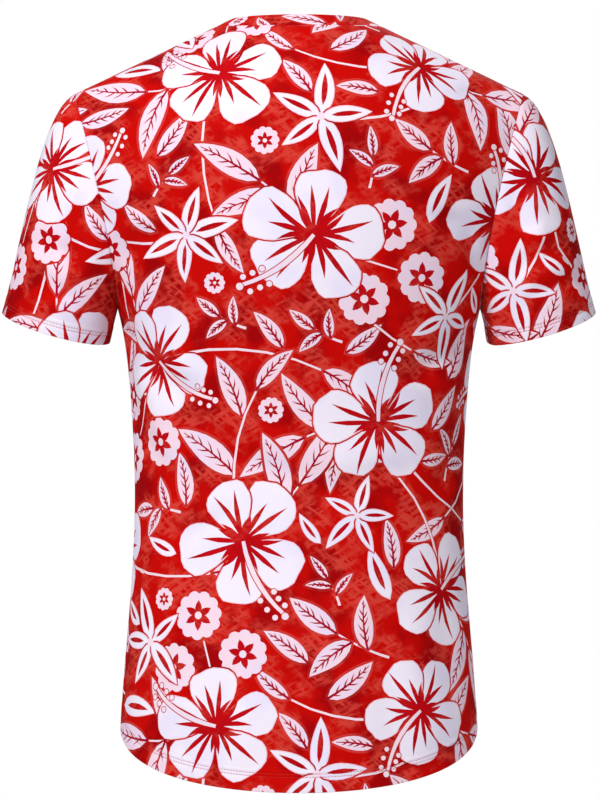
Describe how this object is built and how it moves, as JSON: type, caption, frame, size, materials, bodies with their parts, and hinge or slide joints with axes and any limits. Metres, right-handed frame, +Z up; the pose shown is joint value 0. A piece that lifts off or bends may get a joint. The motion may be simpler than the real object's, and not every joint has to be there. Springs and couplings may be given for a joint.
{
  "type": "cycling jersey",
  "caption": "Short-sleeved slim sports jersey with a crew neckband, set-in sleeves and a curved drop hem, filled out as if worn, printed with white flowers and leaves on red.",
  "frame": {"origin": "midway between the two neck points, where the shoulder seams meet the neckband and the wearer's shoulders carry the jersey", "axes": "+Z up, the back faces -Y and the front faces +Y, and the wearer's right is +X"},
  "size_m": [0.5638, 0.2401, 0.7341],
  "materials": {
    "printed_knit": "fine polyester knit, printed all over in red and white, matt with a faint sheen",
    "neckband_knit": "the same printed knit, folded double"
  },
  "bodies": {
    "root": {"back": "printed_knit", "front": "printed_knit", "sleeve_left": "printed_knit", "sleeve_right": "printed_knit", "neckband": "neckband_knit"}
  },
  "joints": []
}
